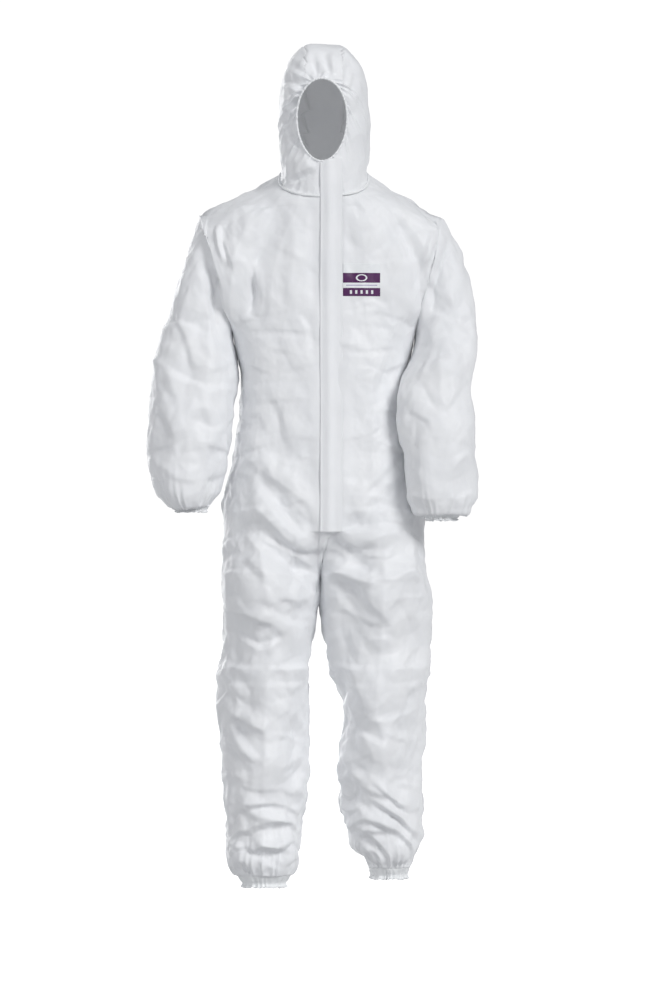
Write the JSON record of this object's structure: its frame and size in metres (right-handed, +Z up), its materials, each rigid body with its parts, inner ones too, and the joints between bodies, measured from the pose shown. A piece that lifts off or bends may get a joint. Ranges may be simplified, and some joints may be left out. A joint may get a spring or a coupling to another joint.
{
  "type": "chemical protective suit",
  "caption": "Hooded one-piece protective coverall with elastic hood, cuffs and ankles, and a front zipper under a storm flap.",
  "frame": {"origin": "middle of the wearer's neck, level with the front of the neck seam's sides", "axes": "+X to the wearer's left, -Y out of the front, +Z up along the wearer's spine"},
  "size_m": [0.6778, 0.308, 1.7416],
  "materials": {
    "laminate_fabric": "matte",
    "hem_fabric": "matte",
    "seam_binding": "matte",
    "elastic": "matte",
    "zip_tape": "matte",
    "zip_coil": "satin",
    "zip_slider": "satin",
    "chest_print": "satin",
    "size_label": "satin",
    "adhesive": "satin",
    "release_liner": "satin"
  },
  "bodies": {
    "suit": {"front_panel_left": "laminate_fabric", "front_panel_right": "laminate_fabric", "back_panel_left": "laminate_fabric", "back_panel_right": "laminate_fabric", "hood_panel_left": "laminate_fabric", "hood_panel_right": "laminate_fabric", "hood_centre_panel": "laminate_fabric", "side_seam_tape_left": "seam_binding", "side_seam_tape_right": "seam_binding", "inseam_tape_left": "seam_binding", "inseam_tape_right": "seam_binding", "centre_back_seam_tape": "seam_binding", "waist_elastic": "elastic", "waist_elastic_casing": "laminate_fabric", "face_hem": "hem_fabric", "face_elastic": "elastic", "neck_seam": "seam_binding", "zip_tape_left": "zip_tape", "zip_tape_right": "zip_tape", "zip_coil_left": "zip_coil", "zip_coil_right": "zip_coil", "zip_top_stops": "zip_coil", "zip_bottom_stop": "zip_coil", "ankle_hem_left": "hem_fabric", "ankle_hem_right": "hem_fabric", "ankle_elastic_left": "elastic", "ankle_elastic_right": "elastic", "chest_print": "chest_print", "size_label": "size_label"},
    "sleeve_left": {"sleeve_left": "laminate_fabric", "sleeve_seam_tape_left": "seam_binding", "cuff_hem_left": "hem_fabric", "cuff_elastic_left": "elastic"},
    "sleeve_right": {"sleeve_right": "laminate_fabric", "sleeve_seam_tape_right": "seam_binding", "cuff_hem_right": "hem_fabric", "cuff_elastic_right": "elastic"},
    "storm_flap": {"storm_flap": "laminate_fabric", "flap_adhesive_strip": "adhesive", "adhesive_release_liner": "release_liner"},
    "zip_slider": {"zip_slider": "zip_slider"},
    "zip_pull_tab": {"zip_pull_tab": "zip_slider"}
  },
  "joints": [
    {"name": "sleeve_raise_left", "type": "hinge", "parent": "suit", "child": "sleeve_left", "pos_m": [0.2465, 0, -0.055], "axis": [0, -1, 0], "range_deg": [0, 60]},
    {"name": "sleeve_raise_right", "type": "hinge", "parent": "suit", "child": "sleeve_right", "pos_m": [-0.2465, 0, -0.055], "axis": [0, 1, 0], "range_deg": [0, 60]},
    {"name": "storm_flap_open", "type": "hinge", "parent": "suit", "child": "storm_flap", "pos_m": [0.038, -0.1044, 0.0001], "axis": [0, 0.0549, 0.9985], "range_deg": [0, 150]},
    {"name": "zip_slide", "type": "slide", "parent": "suit", "child": "zip_slider", "axis": [0, -0.0549, -0.9985], "range_m": [0, 0.72]},
    {"name": "zip_pull_swing", "type": "hinge", "parent": "zip_slider", "child": "zip_pull_tab", "pos_m": [0.01, -0.1043, 0.0421], "axis": [-1, 0, 0], "range_deg": [0, 90]}
  ],
  "couplings": [
    {"joint": "zip_pull_swing", "follows": "storm_flap_open", "ratio": 0.6}
  ]
}
